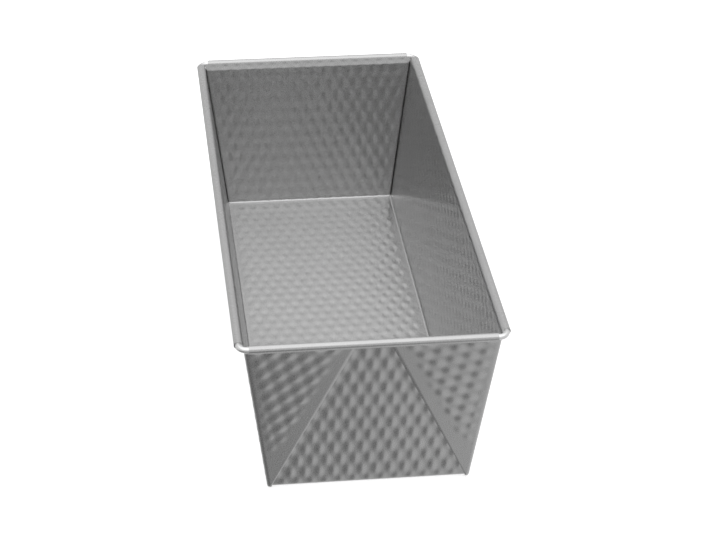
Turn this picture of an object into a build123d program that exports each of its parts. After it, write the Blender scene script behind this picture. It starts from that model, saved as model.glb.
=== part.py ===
from build123d import *
import math
import os

# Outside sizes over the rolled rim, and how far the rim stands out past the base on each side
rim_length = 300.0
rim_width = 123.5
rim_height = 84.1
end_overhang = 13.2
side_overhang = 14.8

# Steel stock, and the small gaps between pieces and pressed layers
sheet = 0.5
wire_diameter = 2.8
wire_clearance = 0.03
layer_gap = 0.1
fold_swell = 0.05

# Folds, measured on the outside
base_fold_radius = 1.5
corner_fold_radius = 1.6
corner_slit = 0.7
ear_foot_width = 0.6
ear_foot_rise = 4.5
ear_tip_spacing = 17.8
base_corner_share = 0.95

# The flared top of the walls and the roll round the wire
flare_drop = 2.8
wall_setback = 2.4
wire_corner_radius = 4.0
wire_notch_clearance = 0.15
hem_end_space = 4.4
hem_end_angle = -105.0

# How far a cutting solid runs past what it cuts
overrun = 2.0

# The base, and where the wire lies, from the sizes above
base_length = rim_length - 2 * end_overhang
base_width = rim_width - 2 * side_overhang
roll_bore_radius = wire_diameter / 2 + wire_clearance
roll_radius = roll_bore_radius + sheet
wire_x = rim_width / 2 - roll_radius
wire_y = rim_length / 2 - roll_radius
wire_z = rim_height - roll_radius

# The walls, from the base up to the bend where the flare starts
bend_z = wire_z - flare_drop
side_lean = math.atan((wire_x - wall_setback - base_width / 2) / bend_z)
end_lean = math.atan((wire_y - wall_setback - base_length / 2) / bend_z)
bend_w = bend_z / math.cos(end_lean)

# The flare runs from the bend to where it touches the roll
bend_distance = math.hypot(wall_setback, flare_drop)
flare_angle = math.atan2(flare_drop, wall_setback) + math.asin(roll_bore_radius / bend_distance)
flare_lean = math.pi / 2 - flare_angle
touch_angle = math.pi / 2 + flare_angle
flare_top_z = wire_z + roll_radius * math.sin(touch_angle)

# An ear is two layers, and lies on the outside of the end wall
bead_radius = sheet + layer_gap / 2 + fold_swell
ear_depth = 2 * (sheet + layer_gap)
ear_foot_w = ear_foot_rise / math.cos(end_lean)
ear_foot_s = base_width / 2 - ear_foot_width
ear_tip_s = ear_tip_spacing / 2
ear_top_w = bend_w - sheet


def half_width(z, depth=0):
    """Half the width between the side walls' faces that lie this deep, at height z."""
    return base_width / 2 + z * math.tan(side_lean) - depth / math.cos(side_lean)


def half_length(z, depth=0):
    """Half the length between the end walls' faces that lie this deep, at height z."""
    return base_length / 2 + z * math.tan(end_lean) - depth / math.cos(end_lean)


def flare_half(half_at_wire, z, depth):
    """Half the distance between the flare's faces that lie this deep, at height z."""
    touch_z = wire_z + roll_bore_radius * math.sin(touch_angle)
    touch = half_at_wire + roll_bore_radius * math.cos(touch_angle)
    return touch + (z - touch_z) * math.tan(flare_lean) - depth / math.cos(flare_lean)


def block(low, high, half_x, half_y):
    """A solid between two level rectangles. half_x and half_y give its size at a height."""
    foot = Pos(0, 0, low) * Rectangle(2 * half_x(low), 2 * half_y(low))
    head = Pos(0, 0, high) * Rectangle(2 * half_x(high), 2 * half_y(high))
    return loft([foot, head], ruled=True)


def wall_block(low, high, side_depth, end_depth):
    """A solid with the walls' taper, whose faces lie this deep inside the walls' outer faces."""
    return block(low, high, lambda z: half_width(z, side_depth), lambda z: half_length(z, end_depth))


def flare_block(low, high, side_depth, end_depth):
    """A solid with the flare's taper, whose faces lie this deep inside the flare's outer faces."""
    half_x = lambda z: flare_half(wire_x, z, side_depth)
    half_y = lambda z: flare_half(wire_y, z, end_depth)
    return block(low, high, half_x, half_y)


def fold_base(solid, radius, corner_radius):
    """Rounds all the edges of the lowest face, as far as the rounding of the upright edges allows."""
    narrowest_angle = math.pi / 2 + min(side_lean, end_lean)
    room = corner_radius * math.tan(narrowest_angle / 2)
    return fillet(solid.edges().group_by(Axis.Z)[0], min(radius, base_corner_share * room))


def fold_base_ends(solid, radius):
    """Rounds only the two edges of the lowest face that run across the pan."""
    return fillet(solid.edges().group_by(Axis.Z)[0].filter_by(Axis.X), radius)


def fold_corners(solid, radius):
    """Rounds the four upright edges."""
    upright = solid.edges().filter_by(lambda edge: abs((edge @ 1 - edge @ 0).Z) > sheet)
    return fillet(upright, radius)


# The front end wall's outer face, with s across it, w up it and n out of it
end_plane = Plane(
    origin=(0, -base_length / 2, 0),
    x_dir=(1, 0, 0),
    z_dir=(0, -math.cos(end_lean), -math.sin(end_lean)),
)


def end_prism(outline, low, high):
    """A plate parallel to the front end wall: its outline in s and w, from n = low to n = high."""
    face = make_face(Polyline(outline, close=True))
    return extrude(end_plane.offset(low) * face, high - low, dir=end_plane.z_dir)


def end_rod(start, stop, n, radius):
    """A round rod along the front end wall, between two points in s and w."""
    first = end_plane.from_local_coords(Vector(*start, n))
    last = end_plane.from_local_coords(Vector(*stop, n))
    line = last - first
    along = Plane(origin=first, z_dir=line)
    return along * Cylinder(radius, line.length, align=(Align.CENTER, Align.CENTER, Align.MIN))


def both_ends(solid):
    """The solid and its copy at the back end."""
    return [solid, Rot(0, 0, 180) * solid]


def diagonal_s(w):
    """The ear's folded edge, which rises from the base corner towards the middle of the rim."""
    return ear_foot_s + (ear_tip_s - ear_foot_s) * w / bend_w


def slit_s(w, past):
    """The line of the open slit beside a side wall, past its inner face, on the end wall."""
    return half_width(w * math.cos(end_lean), sheet) - past


def outer_solid():
    """The pan as a block, with rounded corners, out to the ears' outer faces."""
    rounded = fold_corners(wall_block(0, bend_z, 0, -ear_depth), corner_fold_radius)
    return fold_base(rounded, base_fold_radius, corner_fold_radius)


def side_walls_and_ears():
    """The side walls, the floor and the outer layer of each ear, which goes on from a side wall."""
    hollow = wall_block(sheet, bend_z + overrun, sheet, sheet - ear_depth)
    hollow = fold_corners(hollow, corner_fold_radius - sheet)
    hollow = fold_base(hollow, base_fold_radius - sheet, corner_fold_radius - sheet)
    between_ears = end_prism(
        [
            (-diagonal_s(-overrun), -overrun),
            (diagonal_s(-overrun), -overrun),
            (diagonal_s(bend_w + overrun), bend_w + overrun),
            (-diagonal_s(bend_w + overrun), bend_w + overrun),
        ],
        -base_fold_radius - sheet,
        ear_depth + overrun,
    )
    return outer_solid() - hollow - both_ends(between_ears)


def end_walls():
    """The end walls, folded up from the floor, with an open slit beside each side wall."""
    outside = fold_base_ends(wall_block(0, bend_z, sheet + corner_slit, 0), base_fold_radius)
    inside = wall_block(sheet, bend_z + overrun, -overrun, sheet)
    return outside - fold_base_ends(inside, base_fold_radius - sheet)


def flare():
    """The band above the bend, which leans out to the wire on all four sides."""
    sides = flare_block(bend_z, flare_top_z, 0, 0)
    sides = sides - flare_block(bend_z - overrun, flare_top_z + overrun, sheet, -overrun)
    ends = flare_block(bend_z, flare_top_z, sheet + corner_slit, 0)
    ends = ends - flare_block(bend_z - overrun, flare_top_z + overrun, -overrun, sheet)
    return sides + ends - wire_corners(wire_diameter / 2 + wire_notch_clearance)


def ear_folds(side):
    """An ear's inner layer, with its fold at the end wall's edge and its diagonal fold.

    side is 1 for the ear on the right and -1 for the one on the left.
    """
    def edge(w):
        return (side * slit_s(w, corner_slit + bead_radius - fold_swell), w)

    def diagonal(w):
        return (side * diagonal_s(w), w)

    outline = [edge(ear_foot_w), edge(ear_top_w), diagonal(ear_top_w), diagonal(ear_foot_w)]
    layer = end_prism(outline, layer_gap, layer_gap + sheet)
    rod_foot_w = ear_foot_w - sheet
    edge_n = layer_gap / 2
    diagonal_n = ear_depth - sheet - layer_gap / 2
    edge_fold = end_rod(edge(rod_foot_w), edge(ear_top_w), edge_n, bead_radius)
    diagonal_fold = end_rod(diagonal(rod_foot_w), diagonal(ear_top_w), diagonal_n, bead_radius)
    return layer + edge_fold + diagonal_fold


def hem(place, half_run):
    """The roll over the wire along one side, as a ring's sector. u is outward, v is up."""
    start = math.degrees(touch_angle)
    turn = hem_end_angle - start
    bore = CenterArc((0, 0), roll_bore_radius, start, turn)
    skin = CenterArc((0, 0), roll_radius, start, turn)
    sector = make_face([bore, skin, Line(bore @ 0, skin @ 0), Line(bore @ 1, skin @ 1)])
    return extrude(place * sector, half_run, both=True)


def hems():
    """The four rolls, which stop short of the corners and leave the wire bare there."""
    side_place = Plane(origin=(wire_x, 0, wire_z), x_dir=(1, 0, 0), z_dir=(0, -1, 0))
    end_place = Plane(origin=(0, wire_y, wire_z), x_dir=(0, 1, 0), z_dir=(1, 0, 0))
    side = hem(side_place, wire_y - hem_end_space)
    end = hem(end_place, wire_x - hem_end_space)
    return both_ends(side) + both_ends(end)


def wire_corners(radius):
    """The wire's four bends, with this radius of wire."""
    bends = []
    for x_side, y_side, turn in ((1, 1, 0), (-1, 1, 90), (-1, -1, 180), (1, -1, 270)):
        bend = Torus(wire_corner_radius, radius, major_angle=90, align=None)
        x = x_side * (wire_x - wire_corner_radius)
        y = y_side * (wire_y - wire_corner_radius)
        bends.append(Pos(x, y, wire_z) * Rot(0, 0, turn) * bend)
    return bends


def pan_body():
    """The folded sheet: one blank, from floor to rolled rim."""
    ears = both_ends(ear_folds(1)) + both_ends(ear_folds(-1))
    ends = end_walls().fuse(*ears)
    return side_walls_and_ears().fuse(ends).fuse(flare(), *hems())


def rim_wire():
    """The closed wire inside the rolled rim."""
    path = (Pos(0, 0, wire_z) * RectangleRounded(2 * wire_x, 2 * wire_y, wire_corner_radius)).wire()
    section = Plane(origin=path @ 0, z_dir=path % 0) * Circle(wire_diameter / 2)
    return sweep(section, path=path)


os.makedirs("parts", exist_ok=True)
nodes = {"pan_body": pan_body(), "rim_wire": rim_wire()}
for name, shape in nodes.items():
    shape.label = name
    export_step(shape, f"parts/{name}.step")
    size = shape.bounding_box().size
    print(name, len(shape.solids()), "solid,", round(shape.volume), "mm3,", [round(v, 2) for v in size])
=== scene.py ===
# %% [markdown]
# A loaf pan folded from one dimpled sheet.
# The real pan starts as a flat steel blank that a pair of rollers has pressed full of small bumps.
# The blank is folded up into a floor and four walls, the spare steel at each corner is folded flat
# against the end walls as a double ear, and the top edge is rolled round a wire ring.
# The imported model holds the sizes. This script gives the sheet its bumps, its soft folds and its finish.

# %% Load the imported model
import math
import bpy
import numpy as np
from mathutils import Matrix, Vector


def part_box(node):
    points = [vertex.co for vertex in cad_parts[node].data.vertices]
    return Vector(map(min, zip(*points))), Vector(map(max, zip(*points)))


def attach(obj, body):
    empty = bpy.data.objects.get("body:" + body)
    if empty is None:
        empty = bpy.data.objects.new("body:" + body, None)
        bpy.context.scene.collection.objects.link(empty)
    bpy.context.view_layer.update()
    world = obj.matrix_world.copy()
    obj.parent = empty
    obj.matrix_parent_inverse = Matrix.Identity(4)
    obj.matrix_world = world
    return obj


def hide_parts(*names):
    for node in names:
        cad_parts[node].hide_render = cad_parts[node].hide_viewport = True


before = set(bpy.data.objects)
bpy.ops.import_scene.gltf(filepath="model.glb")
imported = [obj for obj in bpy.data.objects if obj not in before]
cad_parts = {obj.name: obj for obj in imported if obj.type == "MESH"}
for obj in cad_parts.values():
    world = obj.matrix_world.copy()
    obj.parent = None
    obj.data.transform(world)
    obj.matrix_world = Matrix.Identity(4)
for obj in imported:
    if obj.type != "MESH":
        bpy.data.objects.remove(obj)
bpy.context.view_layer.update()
mm = 0.001

# %% [markdown]
# Everything follows from a few sizes of the real pan, in millimetres.
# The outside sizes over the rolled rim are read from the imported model, so the looks always fit it.
# The stock sizes are those of the real steel: half a millimetre of sheet and a wire of 2.8 mm.

# %% Sizes of the pan
body_high = Vector(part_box("pan_body")[1]) / mm
rim_half_width, rim_half_length, rim_height = body_high
sheet = 0.5
wire_radius = 1.4
wire_clearance = 0.03
end_overhang = 13.2
side_overhang = 14.8
base_half_width = rim_half_width - side_overhang
base_half_length = rim_half_length - end_overhang

bore = wire_radius + wire_clearance
roll_middle = bore + sheet / 2
roll_outside = roll_middle + sheet / 2
wire_x = rim_half_width - roll_outside
wire_y = rim_half_length - roll_outside
wire_z = rim_height - roll_outside
print("wire at", round(wire_x, 2), round(wire_y, 2), round(wire_z, 2), "mm")

# %% [markdown]
# A wall seen from its end is a bent line: floor, base fold, slanted wall, a slight bend, a flare
# that leans out to the wire, and the roll. The line below runs along the middle of the sheet.
# It could be drawn as a curve and beveled, but a line whose points are worked out one by one also
# tells how far along it each point lies. That is where the point lay on the flat blank, and so where its
# bumps belong.
# Straight runs joined by arcs give soft folds.

# %% A line with rounded corners
arc_steps = 12


def rounded(corners, radii):
    """A line through corner points, with an arc of the given radius at each inner corner."""
    points = [np.array(corners[0])]
    for before, corner, after, radius in zip(corners, corners[1:], corners[2:], radii):
        before, corner, after = (np.array(p, float) for p in (before, corner, after))
        way_in = (corner - before) / np.linalg.norm(corner - before)
        way_out = (after - corner) / np.linalg.norm(after - corner)
        bend_angle = math.acos(np.clip(way_in @ way_out, -1, 1))
        start = corner - way_in * radius * math.tan(bend_angle / 2)
        inward = way_out - way_in * (way_in @ way_out)
        centre = start + inward / np.linalg.norm(inward) * radius
        for angle in np.linspace(0, bend_angle, arc_steps):
            arm = (start - centre) * math.cos(angle) + way_in * radius * math.sin(angle)
            points.append(centre + arm)
    points.append(np.array(corners[-1]))
    return np.array(points)


print("arcs of", arc_steps, "points")

# %% [markdown]
# The flare is straight on the end walls, where it aims at the roll as a tangent. On the side walls
# it curls round sooner and softer, and leaves a broader band of shade under the rim.

# %% The lines of the side wall and the end wall
flare_drop = 2.8
wall_setback = 2.4
base_fold_middle = 1.25
end_bend_middle = 1.5
side_bend_middle = 3.4
side_touch = math.radians(135)

straight_aim = math.atan2(flare_drop, wall_setback) + math.asin(bore / math.hypot(wall_setback, flare_drop))
end_touch = math.pi / 2 + straight_aim
bend_z = wire_z - flare_drop
floor_z = sheet / 2


def wall_line(base_half, wire_at, touch_angle, bend_middle):
    """Distance out and height of a wall's middle, from the floor's middle line to the wire."""
    flare_lean = math.pi - touch_angle
    lean = math.atan((wire_at - wall_setback - base_half) / bend_z)
    wall_at = base_half - sheet / 2 / math.cos(lean)
    touch = (wire_at + roll_middle * math.cos(touch_angle), wire_z + roll_middle * math.sin(touch_angle))
    fold = (wall_at + floor_z * math.tan(lean), floor_z)
    gap_at_floor = touch[0] - touch[1] * math.tan(flare_lean) - wall_at
    rise = gap_at_floor / (math.tan(lean) - math.tan(flare_lean))
    bend = (wall_at + rise * math.tan(lean), rise)
    line = rounded([(0.0, floor_z), fold, bend, touch], [base_fold_middle, bend_middle])
    run = np.concatenate([[0], np.cumsum(np.linalg.norm(np.diff(line, axis=0), axis=1))])
    return {"out": line[1:, 0], "up": line[1:, 1], "run": run[1:], "lean": lean, "touch": touch_angle}


side = wall_line(base_half_width, wire_x, side_touch, side_bend_middle)
end = wall_line(base_half_length, wire_y, end_touch, end_bend_middle)
print("side wall leans", round(math.degrees(side["lean"]), 2), "degrees")
print("end wall leans", round(math.degrees(end["lean"]), 2), "degrees")

# %% [markdown]
# The mesh of the sheet is a net of rows and columns. A row is one level round the pan, and the
# levels lie closer together in the folds. Up to the top of the ears all walls share their heights,
# because the sheet runs on round the corners there. Above the ears the side and end walls are cut
# apart, and each wall's rows end where its own flare touches the wire.

# %% Levels of the walls
grid_step = 1.0
fold_steps = 5
bend_steps = 6
flare_steps = 10
ear_top_rise = 0.7
ear_top_z = bend_z + ear_top_rise


def level_heights():
    """Heights of the side wall's rows, from the floor to where the sheet touches the wire."""
    fold_run = np.linspace(side["run"][0], side["run"][arc_steps - 1], fold_steps + 1)
    heights = [np.interp(fold_run, side["run"], side["up"])]
    marks = [heights[0][-1], bend_z - ear_top_rise, ear_top_z, side["up"][-1]]
    wall_steps = round((marks[1] - marks[0]) / grid_step)
    for low, high, steps in zip(marks, marks[1:], (wall_steps, bend_steps, flare_steps)):
        heights.append(np.linspace(low, high, steps + 1)[1:])
    return np.concatenate(heights)


levels = level_heights()
side_out = np.interp(levels, side["up"], side["out"])
side_run = np.interp(levels, side["up"], side["run"])
above_ear = np.clip(levels - ear_top_z, 0, None)
end_levels = levels - above_ear * (levels[-1] - end["up"][-1]) / above_ear[-1]
end_out = np.interp(end_levels, end["up"], end["out"])
end_run = np.interp(end_levels, end["up"], end["run"])
print(len(levels), "levels")

# %% [markdown]
# At each corner the side wall turns round the end and goes on as the outer layer of the ear.
# The layer runs to a slanting fold, comes back underneath, and folds once more at the edge of the
# end wall, just inside the side wall, where a narrow slit shows. So one row passes through
# side wall, corner, outer layer, fold, inner layer, fold and end wall without a break.
# The inner layer keeps some room from the end wall, so that the end wall's bumps, which are pressed
# outwards, don't cut through it.

# %% Places of the ear's layers and folds
corner_middle = 1.35
bump_room = 0.5
layer_gap = 0.05
layer_step = 0.6
slit_width = 0.2
ear_foot_width = 0.6
ear_tip = 8.9

inner_layer_offset = sheet + bump_room + layer_gap
outer_layer_offset = inner_layer_offset + layer_step
edge_fold_radius = inner_layer_offset / 2
slant_fold_radius = layer_step / 2
slant_up_end = 1 / math.cos(end["lean"])

# Every layer starts from nothing at the foot of the base fold and swells to its place above it
swell = np.sqrt(np.clip(1 - (1 - (levels - floor_z) / base_fold_middle) ** 2, 0, 1))
swell[levels - floor_z > base_fold_middle] = 1
corner_radius = corner_middle * swell
inner_offset = inner_layer_offset * slant_up_end * swell
outer_offset = outer_layer_offset * slant_up_end * swell
side_out_beside_end = np.interp(end_levels, side["up"], side["out"])
edge_at = side_out_beside_end - (sheet + slit_width + edge_fold_radius) * swell
slant_share = levels / bend_z
slant_line = base_half_width - ear_foot_width + (ear_tip - base_half_width + ear_foot_width) * slant_share
slant_at = np.minimum(slant_line, edge_at - slant_fold_radius * swell)
ear_levels = int(np.searchsorted(levels, ear_top_z, side="right"))
print("the ears end at level", ear_levels, "of", len(levels))

# %% [markdown]
# Above the ears the side wall's flare runs out towards the wire's corner, and the end wall's edge
# moves across to it, because no folded layer stands between them there. The hems stop short of the
# corners, so that the wire can bend.

# %% The cut edges above the ears
corner_gap = 3.3
slit_closing = 0.92
flare_curve = 3
hem_end_space = 4.4

flare_share = np.clip((levels - ear_top_z) / (levels[-1] - ear_top_z), 0, 1)
corner_at = end_out + outer_offset - corner_radius
side_end = corner_at + (wire_y - corner_gap - corner_at) * flare_share ** flare_curve
edge_at[ear_levels:] += slit_closing * (1 - flare_share[ear_levels:] ** flare_curve)
print("the side wall's top edge ends", round(wire_y - side_end[-1], 2), "mm before the wire's end")

# %% [markdown]
# The bumps stand in staggered rows. Their pitch was measured on the floor, the end walls and a side
# wall. Each bump is a low oval dome, longer along the pan, pressed outwards, so the inside of the
# pan shows dents. Up the end walls the ovals stand upright, on the ears and side walls they lie.
# A formula for their height at a place on the blank serves every panel, so no bump is placed by hand.

# %% Bumps
pitch_across = 6.587
row_step = 6.846
bump_half_width = 2.5
bump_half_length = 4.3
bump_height = 0.25


def smooth(value):
    """Goes smoothly from 0 to 1 as value goes from 0 to 1."""
    t = np.clip(value, 0, 1)
    return t * t * (3 - 2 * t)


def bumps(across, along):
    """Height of the pressed bumps, from 0 to 1, at a place on the flat blank."""
    height = np.zeros_like(across)
    for shift_x, shift_y in ((0, 0), (pitch_across / 2, row_step)):
        u = across - shift_x
        v = along - shift_y
        u = u - pitch_across * np.round(u / pitch_across)
        v = v - 2 * row_step * np.round(v / (2 * row_step))
        away = np.hypot(u / bump_half_width, v / bump_half_length)
        height = np.maximum(height, np.where(away < 1, np.cos(np.pi / 2 * np.clip(away, 0, 1)) ** 2, 0))
    return height


print("bumps every", pitch_across, "mm, in rows", row_step, "mm apart")

# %% [markdown]
# Now the net of one quarter of the pan is laid out. Each patch is a block of points with, for each
# point, its place on the flat blank and how strongly the bumps show there.
# The bumps fade out near the folds and edges, because folding flattens the sheet there.

# %% Columns of points, and how the bumps fade towards the folds
side_steps = 136
end_steps = 54
hem_end_steps = 3
fold_fade = 2.5
side_top_fade = 5.0
end_top_fade = 2.0
edge_fade = 4.5


def patch(x, y, z, across, along, strength):
    """A block of points with their places on the blank and the strength of the bumps."""
    return [np.broadcast_to(part, x.shape).astype(float) for part in (x, y, z, across, along, strength)]


def columns(total, hem_at, steps):
    """Shares from 0 to 1 along a wall, one of which lies where the hem ends."""
    main = np.linspace(0, hem_at / total, steps)
    return np.concatenate([main, np.linspace(hem_at / total, 1, hem_end_steps + 1)[1:]])


side_columns = columns(side_end[-1], wire_y - hem_end_space, side_steps)
end_columns = columns(edge_at[-1], wire_x - hem_end_space, end_steps)
rise = levels[:, None]
end_rise = end_levels[:, None]
fold_fading = smooth((rise - floor_z) / fold_fade)
side_top_fading = smooth((levels[-1] - rise) / side_top_fade)
end_top_fading = smooth((end_levels[-1] - end_rise) / end_top_fade)
print(len(side_columns), "columns along a side,", len(end_columns), "along an end")

# %% [markdown]
# The two walls are plain nets. A point's distance up the wall's line is its place on the blank.

# %% The side wall and the end wall


def side_wall():
    """From the middle of the side wall to the corner."""
    y = side_columns[None, :] * side_end[:, None]
    x = np.repeat(side_out[:, None], y.shape[1], axis=1)
    edge_fading = smooth((side_end[:, None] - y) / edge_fade)
    return patch(x, y, rise, side_run[:, None], y, fold_fading * side_top_fading * edge_fading)


def end_wall():
    """From the slit to the middle of the end wall."""
    x = end_columns[None, :] * edge_at[:, None]
    y = np.repeat(end_out[:, None], x.shape[1], axis=1)
    edge_fading = smooth((edge_at[:, None] - x) / edge_fade)
    return patch(x, y, end_rise, x, end_run[:, None], fold_fading * end_top_fading * edge_fading)


side_patch = side_wall()
end_patch = end_wall()
print("side wall", side_patch[0].shape, "points, end wall", end_patch[0].shape)

# %% [markdown]
# The ear is two flat layers and three folds. Its outer layer is the side wall's own steel, laid
# over. So its bumps are looked up on the blank as if the layer were swung back round the base's
# corner, and they come out turned, as on the real ear. Its foot and its slanting edge are pressed
# flat. The inner layer is hidden and stays plain.

# %% The corner and the ear
corner_steps = 5
outer_steps = 36
turn_steps = 6
inner_steps = 8
slant_band = 9.0
ear_foot_fade = 26.0
ear_bumps = 1.3
ear_rows = slice(0, ear_levels)


def turn(centre_x, centre_y, radius, start, stop, steps):
    """Rows of points on arcs, from the start angle to the stop angle, seen from above."""
    angle = np.radians(np.linspace(start, stop, steps + 1))[None, :]
    x = centre_x[ear_rows, None] + radius[ear_rows, None] * np.cos(angle)
    y = centre_y[ear_rows, None] + radius[ear_rows, None] * np.sin(angle)
    return patch(x, y, rise[ear_rows], x, y, 0.0)


def corner():
    """The upright corner, from the side wall to the ear."""
    centre_y = end_out + outer_offset - corner_radius
    return turn(side_out - corner_radius, centre_y, corner_radius, 0, 90, corner_steps)


def ear_outer():
    """The outer layer of the ear, whose bumps are the side wall's, turned by the folding."""
    start, stop = (side_out - corner_radius)[ear_rows, None], slant_at[ear_rows, None]
    share = np.linspace(0, 1, outer_steps + 1)[None, :]
    x = start + (stop - start) * share
    y = np.repeat((end_out + outer_offset)[ear_rows, None], x.shape[1], axis=1)
    up = rise[ear_rows] * slant_up_end
    inward = base_half_width - x
    reach = np.hypot(inward, up)
    swung = np.arctan2(inward, up) + side["lean"] + end["lean"]
    across = side_run[0] + reach * np.cos(swung)
    along = base_half_length + reach * np.sin(swung)
    slope = math.atan((base_half_width - ear_tip) / bend_z)
    from_slant = (x - slant_line[ear_rows, None]) * math.cos(slope)
    strength = smooth((from_slant - slant_band + edge_fade) / edge_fade) * smooth((start - x) / edge_fade)
    strength = ear_bumps * strength * smooth((up - ear_foot_fade / 2) / ear_foot_fade)
    return patch(x, y, rise[ear_rows], across, along, strength)


def slant_fold():
    """The folded edge of the ear, which turns the sheet under."""
    centre_y = end_out + (outer_offset + inner_offset) / 2
    return turn(slant_at, centre_y, (outer_offset - inner_offset) / 2, 90, 270, turn_steps)


def ear_inner():
    """The inner layer of the ear, hidden between the outer layer and the end wall."""
    start, stop = slant_at[ear_rows, None], edge_at[ear_rows, None]
    x = start + (stop - start) * np.linspace(0, 1, inner_steps + 1)[None, :]
    y = np.repeat((end_out + inner_offset)[ear_rows, None], x.shape[1], axis=1)
    return patch(x, y, rise[ear_rows], x, y, 0.0)


def edge_fold():
    """The fold at the slit, from the inner layer to the end wall."""
    return turn(edge_at, end_out + inner_offset / 2, inner_offset / 2, 90, -90, turn_steps)


ear_patches = [corner(), ear_outer(), slant_fold(), ear_inner(), edge_fold()]
print("corner and ear:", [block[0].shape for block in ear_patches], "points")

# %% [markdown]
# The floor is raised by the bumps' own depth, so that no bump, pressed downwards, sinks below the
# plane that the pan stands on. Its rows were measured a little out of step with the walls' rows.

# %% The floor
floor_fade = 4.0
floor_shift = (3.86, 0.41)
no_shift = (0, 0)


def floor():
    """The floor, whose outer points are the lowest points of the walls."""
    x = np.repeat(end_columns[:, None] * side_out[0], len(side_columns), axis=1)
    y = np.repeat(side_columns[None, :] * end_out[0], len(end_columns), axis=0)
    inside = np.minimum(side_out[0] - x, end_out[0] - y)
    strength = smooth(inside / floor_fade)
    z = floor_z + bump_height * strength
    return patch(x, y, z, x, y, strength)


floor_patch = floor()
print("floor", floor_patch[0].shape, "points")

# %% [markdown]
# The hems go on from the tops of the walls, over the wire and down its outside, and end a little
# way in under it.

# %% The rolled hems
roll_steps = 20
roll_end_angle = math.radians(-105)


def roll(wall, at_wire, place):
    """The roll over the wire, as rows that go on from the top of a wall."""
    angle = np.linspace(wall["touch"], roll_end_angle, roll_steps + 1)[:, None]
    out = at_wire + roll_middle * np.cos(angle) + 0 * place[None, :]
    up = wire_z + roll_middle * np.sin(angle) + 0 * place[None, :]
    return out, up


def side_roll():
    """The rolled hem along the side."""
    place = side_columns[:side_steps] * side_end[-1]
    x, z = roll(side, wire_x, place)
    y = np.repeat(place[None, :], len(x), axis=0)
    return patch(x, y, z, x, y, 0.0)


def end_roll():
    """The rolled hem along the end."""
    place = end_columns[:end_steps] * edge_at[-1]
    y, z = roll(end, wire_y, place)
    x = np.repeat(place[None, :], len(y), axis=0)
    return patch(x, y, z, x, y, 0.0)


side_hem = side_roll()
end_hem = end_roll()
print("side hem", side_hem[0].shape, "points, end hem", end_hem[0].shape)

# %% [markdown]
# The pan is the same in all four quarters, so each patch is made once and mirrored, while the bump
# pattern runs on across the middle lines. Points that coincide become one, which joins the patches
# into a single sheet. A face that has lost a corner on the way becomes a triangle, or is left out
# if it has shrunk to a line.

# %% Join the patches
merge_digits = 3
# Moves the rounding away from round numbers, on which many points lie
merge_nudge = 0.00017

# Each patch, whether its rows and columns turn the other way round, and the shift of its bumps
quarter = [(side_patch, False, no_shift)]
quarter += [(block, False, no_shift) for block in ear_patches]
quarter += [(end_patch, True, no_shift), (floor_patch, False, floor_shift)]
quarter += [(side_hem, False, no_shift), (end_hem, True, no_shift)]


def quads(shape, start, reverse):
    """Faces between neighbouring points of a block."""
    number = np.arange(shape[0] * shape[1]).reshape(shape) + start
    ring = [number[:-1, :-1], number[:-1, 1:], number[1:, 1:], number[1:, :-1]]
    faces = np.stack(ring, axis=-1).reshape(-1, 4)
    return faces[:, ::-1] if reverse else faces


def joined_sheet():
    """Points with their places on the blank and bump strengths, and faces, of the whole sheet."""
    parts, faces, count = [], [], 0
    for sign_x in (1, -1):
        for sign_y in (1, -1):
            for block, flipped, shift in quarter:
                x, y, z, across, along, strength = block
                across = sign_x * across - shift[0]
                along = sign_y * along - shift[1]
                point_values = [sign_x * x, sign_y * y, z, across, along, strength]
                parts.append(np.stack([value.ravel() for value in point_values], axis=-1))
                faces.append(quads(x.shape, count, flipped ^ (sign_x * sign_y < 0)))
                count += x.size
    values = np.concatenate(parts)
    faces = np.concatenate(faces)
    key = np.round(values[:, :3] + merge_nudge, merge_digits)
    _, first, same = np.unique(key, axis=0, return_index=True, return_inverse=True)
    values = values[first]
    faces = same.ravel()[faces]
    kept = []
    for face in faces.tolist():
        corners = [v for k, v in enumerate(face) if v != face[k - 1]]
        if len(set(corners)) == len(corners) and len(corners) > 2:
            kept.append(corners)
    return values, kept


sheet_values, sheet_faces = joined_sheet()
print("joined sheet:", len(sheet_values), "points,", len(sheet_faces), "faces")

# %% [markdown]
# Two small tools turn points into an object and read back what Blender works out for it.

# %% Make and read objects


def add_object(name, points, faces):
    """An object from points in millimetres and faces."""
    mesh = bpy.data.meshes.new(name)
    mesh.from_pydata((np.asarray(points) * mm).tolist(), [], faces)
    thing = bpy.data.objects.new(name, mesh)
    bpy.context.scene.collection.objects.link(thing)
    return thing


def point_directions(mesh):
    """The direction that the mesh faces at each point."""
    values = np.empty(len(mesh.vertices) * 3)
    mesh.vertex_normals.foreach_get("vector", values)
    return values.reshape(-1, 3)


def finished_mesh(thing):
    """The object's mesh with its modifiers applied."""
    view = bpy.context.evaluated_depsgraph_get()
    mesh = bpy.data.meshes.new_from_object(thing.evaluated_get(view))
    thing.modifiers.clear()
    old = thing.data
    thing.data = mesh
    bpy.data.meshes.remove(old)
    return mesh


pan = add_object("pan_sheet", sheet_values[:, :3], sheet_faces)
print("pan sheet before pressing:", len(pan.data.polygons), "faces")

# %% [markdown]
# The bumps move each point straight out of the sheet, as the rollers do. They could be a bump in the
# finish alone, but as geometry they are there in the mesh itself, and on both faces of the steel.
# A Solidify modifier then gives the sheet its thickness, half to each side, and closes its cut edges.

# %% Press the bumps and give the sheet its thickness
sharp_angle = 55

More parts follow.
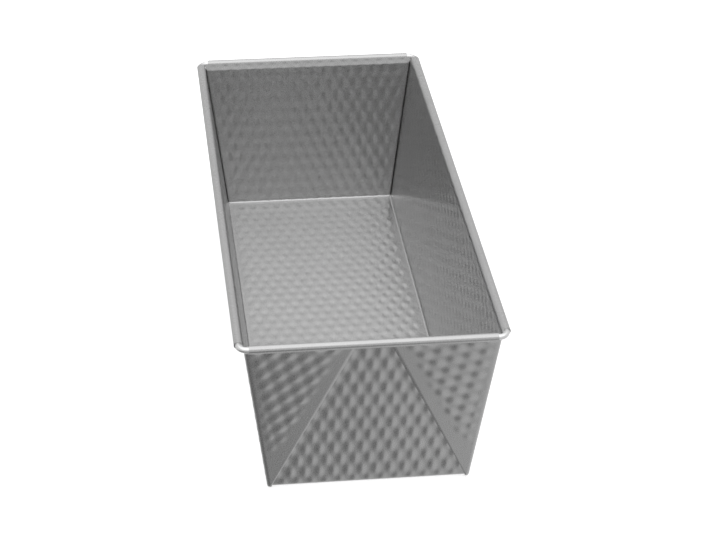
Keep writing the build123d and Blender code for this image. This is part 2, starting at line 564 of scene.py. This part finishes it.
outward = point_directions(pan.data)
floor_middle = np.argmin(np.abs(sheet_values[:, :3]).sum(axis=1))
if outward[floor_middle, 2] > 0:
    pan.data.flip_normals()
    outward = -outward
lift = bumps(sheet_values[:, 3], sheet_values[:, 4]) * sheet_values[:, 5] * bump_height
pressed = sheet_values[:, :3] + outward * lift[:, None]
pan.data.vertices.foreach_set("co", (pressed * mm).ravel())
pan.data.update()
thickness = pan.modifiers.new("steel", "SOLIDIFY")
thickness.thickness = sheet * mm
thickness.offset = 0
pan_mesh = finished_mesh(pan)
pan_mesh.shade_smooth()
pan_mesh.set_sharp_from_angle(angle=math.radians(sharp_angle))
print("pan sheet:", len(pan_mesh.polygons), "faces")

# %% [markdown]
# The rim wire is one closed ring. It shows bare at the four corners, where the hems stop.
# A curve with a bevel would make it too, but circles set along a rounded rectangle give the same
# ring with no more points than it needs.

# %% The wire ring
wire_corner_radius = 4.0
wire_corner_steps = 16
wire_sides = 32


def ring_path():
    """Points along a rounded rectangle, and the outward direction at each."""
    places, directions = [], []
    for quarter_turn, (sign_x, sign_y) in enumerate(((1, 1), (-1, 1), (-1, -1), (1, -1))):
        centre = np.array([sign_x * (wire_x - wire_corner_radius), sign_y * (wire_y - wire_corner_radius)])
        for angle in np.linspace(0, math.pi / 2, wire_corner_steps + 1) + quarter_turn * math.pi / 2:
            direction = np.array([math.cos(angle), math.sin(angle)])
            places.append(centre + wire_corner_radius * direction)
            directions.append(direction)
    return places, directions


def ring_mesh():
    """A round wire along the ring."""
    places, directions = ring_path()
    around = np.linspace(0, 2 * math.pi, wire_sides, endpoint=False)
    points = []
    for place, direction in zip(places, directions):
        for angle in around:
            out = place + direction * wire_radius * math.cos(angle)
            points.append((out[0], out[1], wire_z + wire_radius * math.sin(angle)))
    faces = []
    for i in range(len(places)):
        j = (i + 1) % len(places)
        for k in range(wire_sides):
            n = (k + 1) % wire_sides
            faces.append((i * wire_sides + k, j * wire_sides + k, j * wire_sides + n, i * wire_sides + n))
    return points, faces


wire = add_object("wire_ring", *ring_mesh())
wire.data.shade_smooth()
print("wire ring:", len(wire.data.polygons), "faces")

# %% [markdown]
# The sheet is steel with a thin coat of tin, rolled and then pressed. Tin gives a soft satin shine:
# clear specks lie among hazy ones, so a reflection is blurred and yet not flat. The wire is drawn and
# then tinned. Its bare corners look nearly white from the lamps' glints, and its lighter colour is
# partly painted highlight that stands in for them.
# Metal has no paint of its own, so its base colour is the tint of what it reflects.
# The real specks and grain are finer than the picture can show, so they are drawn coarser, a few
# tenths of a millimetre to a millimetre across.

# %% Tools for finishes


def linear(code):
    """A hex colour, as a screen shows it, turned to the linear values that a shader takes."""
    parts = [int(code[i:i + 2], 16) / 255 for i in (1, 3, 5)]
    return [c / 12.92 if c <= 0.04045 else ((c + 0.055) / 1.055) ** 2.4 for c in parts] + [1.0]


def node(tree, kind, settings):
    """Adds a node. A setting that is another node's output is linked in, and any other is set.

    A socket is named, or numbered where several have one name.
    """
    made = tree.nodes.new(kind)
    for name, value in settings.items():
        if isinstance(value, bpy.types.NodeSocket):
            tree.links.new(value, made.inputs[name])
        elif isinstance(name, int) or name in made.inputs:
            made.inputs[name].default_value = value
        else:
            setattr(made, name, value)
    return made


print("mid grey is", round(linear("#808080")[0], 3), "in linear values")

# %% The metals
cloud_mm = 25
speck_mm = 0.2
speck_low = 0.4
speck_high = 0.6
tint_drift = 0.06
grain_strength = 0.5


def metal(name, colour, low_roughness, high_roughness, grain_mm, grain_depth_mm):
    """A metal with clear and hazy specks, whose tint drifts a little, and with a fine grain."""
    material = bpy.data.materials.new(name)
    material.use_nodes = True
    tree = material.node_tree
    shader = tree.nodes["Principled BSDF"]
    shader.inputs["Metallic"].default_value = 1.0
    place = node(tree, "ShaderNodeTexCoord", {}).outputs["Object"]
    specks, grain, cloud = (
        node(
            tree, "ShaderNodeTexNoise",
            {"Vector": place, "Scale": 1 / (size_mm * mm), "Detail": detail},
        ).outputs["Fac"]
        for size_mm, detail in ((speck_mm, 1.0), (grain_mm, 2.0), (cloud_mm, 3.0))
    )
    roughness = node(tree, "ShaderNodeMapRange", {
        "Value": specks,
        "From Min": speck_low,
        "From Max": speck_high,
        "To Min": low_roughness,
        "To Max": high_roughness,
    })
    tree.links.new(roughness.outputs["Result"], shader.inputs["Roughness"])
    bump = node(tree, "ShaderNodeBump", {
        "Height": grain,
        "Strength": grain_strength,
        "Distance": grain_depth_mm * mm,
    })
    tree.links.new(bump.outputs["Normal"], shader.inputs["Normal"])
    tint = node(tree, "ShaderNodeMapRange", {
        "Value": cloud,
        "To Min": 1 - tint_drift,
        "To Max": 1 + tint_drift,
    })
    tinted = node(tree, "ShaderNodeVectorMath", {
        "operation": "SCALE",
        0: linear(colour)[:3],
        "Scale": tint.outputs["Result"],
    })
    tree.links.new(tinted.outputs["Vector"], shader.inputs["Base Color"])
    return material


tinned = metal("tinned_steel_rolled", "#CECECE", 0.16, 0.42, 0.9, 0.005)
# The wire's near-white colour is partly painted highlight, standing in for the lamp glints on its bare
# corners.
bright = metal("tinned_wire_with_painted_highlight", "#F6F6F6", 0.2, 0.45, 0.6, 0.004)
pan.data.materials.append(tinned)
wire.data.materials.append(bright)
print("finishes:", tinned.name, "and", bright.name)

# %% [markdown]
# The pan has no moving part, so both pieces ride on the one body of the imported model. Each stands
# in for its plain solid, which is hidden.

# %% Fit the pieces to the imported model
for piece, cad_node, slot in ((pan, "pan_body", "tinned_sheet"), (wire, "rim_wire", "bright_wire")):
    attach(piece, "root")
    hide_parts(cad_node)
print("pan_sheet and wire_ring replace the plain solids")

# %% [markdown]
# The camera sees the surroundings as white. The floor glows towards the camera too, but only in part:
# the rest of its white is light that falls on it, so the pan's shadow stays. Blender tells the kinds
# of rays apart with its Light Path node, and a Map Range picks one brightness where a ray is of a
# kind and another where it isn't.

# %% A brightness for each kind of ray


def glow_seen(tree, by_camera, by_shine, by_others):
    """A strength that differs for rays from the camera, rays sent on by gloss or glass, and others."""
    path = node(tree, "ShaderNodeLightPath", {})
    shine = node(tree, "ShaderNodeMath", {
        "operation": "MAXIMUM",
        0: path.outputs["Is Glossy Ray"],
        1: path.outputs["Is Transmission Ray"],
    })
    strength = by_others
    for kind, brightness in ((shine.outputs[0], by_shine), (path.outputs["Is Camera Ray"], by_camera)):
        picked = node(tree, "ShaderNodeMapRange", {"Value": kind, "To Min": strength, "To Max": brightness})
        strength = picked.outputs["Result"]
    return strength


print("brightness for the camera, for shine and for other rays")

# %% [markdown]
# A large pale floor catches a soft shadow. The steel doesn't mirror it: the room in the next cell
# stands for the table and the walls that the real pan mirrors.

# %% The floor of the studio
floor_size = 8.0
floor_drop = 0.1
floor_glow = 0.7
floor_colour = "#E6E6E6"


def floor_material():
    """Pale matt paint that glows a little towards the camera."""
    material = bpy.data.materials.new("studio_floor_pale")
    material.use_nodes = True
    tree = material.node_tree
    shader = tree.nodes["Principled BSDF"]
    shader.inputs["Base Color"].default_value = linear(floor_colour)
    shader.inputs["Roughness"].default_value = 1.0
    shader.inputs["Specular IOR Level"].default_value = 0.0
    shader.inputs["Emission Color"].default_value = (1, 1, 1, 1)
    tree.links.new(glow_seen(tree, floor_glow, floor_glow, 0.0), shader.inputs["Emission Strength"])
    return material


half = floor_size / mm / 2
floor_corners = [(-half, -half), (half, -half), (half, half), (-half, half)]
ground = add_object("studio_floor", [(x, y, -floor_drop) for x, y in floor_corners], [(0, 1, 2, 3)])
ground.data.materials.append(floor_material())
ground.visible_glossy = False
print("studio floor", floor_size, "m wide")

# %% [markdown]
# Shiny metal shows the room more than itself, and dents show only where the room changes from one
# direction to the next. In an all-white room the pan would be white and flat. So rays that the steel
# sends on see a room that is brightest overhead, dim at the horizon and darkest low in front on the
# left. Its directions are those of the world and not of the camera.

# %% The room that the steel shows
sky_on_floor = 0.3
slant = -0.25

# Each row makes one part of the room. It goes smoothly from its first brightness to its second,
# between two places along a direction. Brightness 1 is white, and a name stands for a part made
# above. Along a direction, -1 is full left, front or down, and 1 is full right, back or up.
room = (
    ("low front", "slanted", 0.21, 0.37, 0.17, 0.57),
    ("low front and foot", "up", -0.98, -0.88, 0.62, "low front"),
    ("low back", "right", -0.9, 0.9, 0.45, 1.0),
    ("low", "back", -0.2, 0.3, "low front and foot", "low back"),
    ("high front", "up", 0.5, 0.66, 0.62, 1.25),
    ("high back", "up", 0.45, 0.95, 0.64, 1.2),
    ("high", "back", -0.3, 0.1, "high front", "high back"),
    ("whole room", "up", -0.36, -0.14, "low", "high"),
)


def surroundings_in_steel(tree):
    """How bright the room is in each direction, as the rows of the table tell."""
    direction = node(tree, "ShaderNodeTexCoord", {}).outputs["Generated"]
    parts = node(tree, "ShaderNodeSeparateXYZ", {"Vector": direction})
    known = {"right": parts.outputs["X"], "back": parts.outputs["Y"], "up": parts.outputs["Z"]}
    slanted = node(tree, "ShaderNodeMath", {
        "operation": "MULTIPLY_ADD",
        0: known["up"],
        1: slant,
        2: known["right"],
    })
    known["slanted"] = slanted.outputs[0]
    for name, along, low, high, start, stop in room:
        made = node(tree, "ShaderNodeMapRange", {
            "interpolation_type": "SMOOTHSTEP",
            "Value": known[along],
            "From Min": low,
            "From Max": high,
            "To Min": known.get(start, start),
            "To Max": known.get(stop, stop),
        })
        known[name] = made.outputs["Result"]
    return known["whole room"]


world = bpy.data.worlds.new("studio")
bpy.context.scene.world = world
world.use_nodes = True
surroundings = world.node_tree.nodes["Background"]
surroundings.inputs["Color"].default_value = (1, 1, 1, 1)
strength = glow_seen(world.node_tree, 1.0, surroundings_in_steel(world.node_tree), sky_on_floor)
world.node_tree.links.new(strength, surroundings.inputs["Strength"])
print("surroundings made, in", len(room), "steps")

# %% [markdown]
# One big soft lamp overhead lights the floor and gives the pan its soft shadow. The steel doesn't
# mirror the lamp's square face, because the room above already stands for it.

# %% The lamp


def softbox(name, place, target, width, height, brightness):
    """An area lamp, set by how bright its face looks, where 1 is white."""
    light = bpy.data.lights.new(name, "AREA")
    light.shape = "RECTANGLE"
    light.size = width
    light.size_y = height
    light.energy = brightness * math.pi * width * height
    thing = bpy.data.objects.new(name, light)
    thing.location = place
    thing.rotation_euler = (Vector(place) - Vector(target)).to_track_quat("Z", "Y").to_euler()
    bpy.context.scene.collection.objects.link(thing)
    return thing


pan_middle = (0, 0, 0.04)
overhead = softbox("overhead", (0.1, 0.1, 1.5), pan_middle, 2.6, 2.6, 1.25)
overhead.visible_glossy = False
print("lamp made:", overhead.name)

# %% [markdown]
# The camera looks down on the pan from the front, a little from the left, with a long lens. Its
# place, in millimetres, and its turns, in degrees, were solved from the photo's straight edges.

# %% Camera
image_width = 716
camera_place = (-110.73, -957.3, 597.9)
camera_turn = 7.249
camera_down = 30.355
camera_roll = 0.87
focal_pixels = 2193.45
camera = bpy.data.cameras.new("camera")
camera.sensor_width = 36.0
camera.lens = focal_pixels / image_width * camera.sensor_width
camera.clip_end = 50
holder = bpy.data.objects.new("camera", camera)
turned = Matrix.Rotation(math.radians(-camera_turn), 4, "Z")
tilted = Matrix.Rotation(math.radians(90 - camera_down), 4, "X")
rolled = Matrix.Rotation(math.radians(camera_roll), 4, "Z")
holder.matrix_world = Matrix.Translation(Vector(camera_place) * mm) @ turned @ tilted @ rolled
bpy.context.scene.collection.objects.link(holder)
bpy.context.scene.camera = holder
bpy.context.scene.view_settings.view_transform = "Standard"
print("camera lens", round(camera.lens, 1), "mm")
